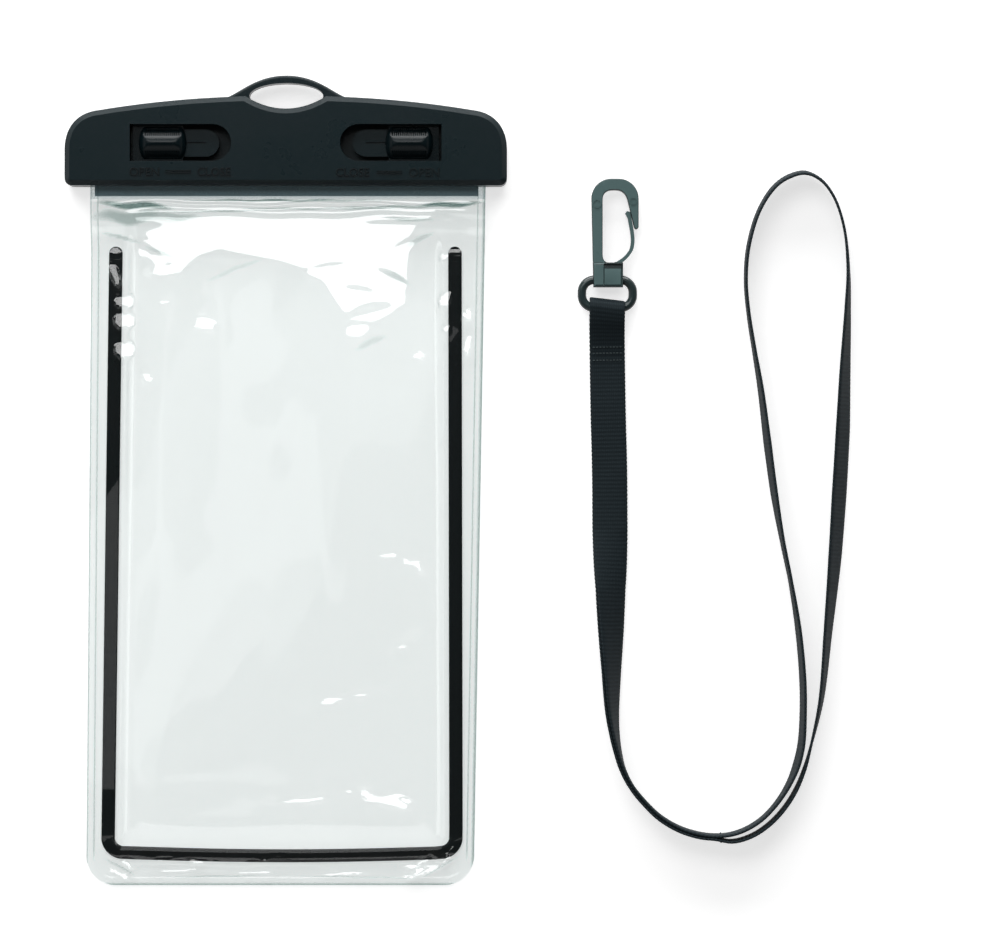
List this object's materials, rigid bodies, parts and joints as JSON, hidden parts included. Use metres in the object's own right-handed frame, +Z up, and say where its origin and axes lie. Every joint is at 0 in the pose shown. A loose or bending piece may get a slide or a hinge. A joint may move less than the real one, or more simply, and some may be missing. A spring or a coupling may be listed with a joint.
{
  "type": "waterproof phone pouch",
  "caption": "Clear film pouch with a rigid clamp closure, sliding latches, a hanging loop and a detachable neck strap with a snap hook.",
  "frame": {"origin": "centre of the bottom of the pouch's own box, on the table that it lies on; the neck strap is left out of that box", "axes": "+Z up, out of the front face; +Y towards the hanging loop; +X to the right as seen from the front"},
  "size_m": [0.214, 0.2206, 0.0117],
  "materials": {
    "rail_plastic": "fine speckled matte",
    "latch_plastic": "satin",
    "seal_rubber": "matte",
    "clear_film": "glossy clear film",
    "black_strip": "satin",
    "webbing": "ribbed weave",
    "hook_plastic": "satin"
  },
  "bodies": {
    "root": {"rear_rail": "rail_plastic", "mouth_gasket": "seal_rubber", "rear_film": "clear_film", "front_film": "clear_film", "accent_frame": "black_strip", "neck_strap": "webbing"},
    "front_half": {"front_rail": "rail_plastic"},
    "left_slider": {"left_latch": "latch_plastic"},
    "right_slider": {"right_latch": "latch_plastic"},
    "ring": {"strap_ring": "hook_plastic"},
    "hook": {"snap_hook": "hook_plastic"},
    "gate": {"hook_gate": "hook_plastic"}
  },
  "joints": [
    {"name": "closure_lift", "type": "slide", "parent": "root", "child": "front_half", "axis": [0, 0, 1], "range_m": [0, 0.012]},
    {"name": "left_latch_slide", "type": "slide", "parent": "front_half", "child": "left_slider", "axis": [1, 0, 0], "range_m": [0, 0.0095]},
    {"name": "right_latch_slide", "type": "slide", "parent": "front_half", "child": "right_slider", "axis": [-1, 0, 0], "range_m": [0, 0.0095]},
    {"name": "ring_hinge", "type": "hinge", "parent": "root", "child": "ring", "pos_m": [0.08735, 0.0472, 0.0027], "axis": [1, 0, 0], "range_deg": [0, 75]},
    {"name": "hook_hinge", "type": "hinge", "parent": "ring", "child": "hook", "pos_m": [0.08735, 0.05485, 0.0027], "axis": [1, 0, 0], "range_deg": [0, 100]},
    {"name": "gate_hinge", "type": "hinge", "parent": "hook", "child": "gate", "pos_m": [0.0898, 0.0585, 0.0027], "axis": [0, 0, 1], "range_deg": [0, 20], "stiffness_Nm_per_rad": 0.02}
  ]
}
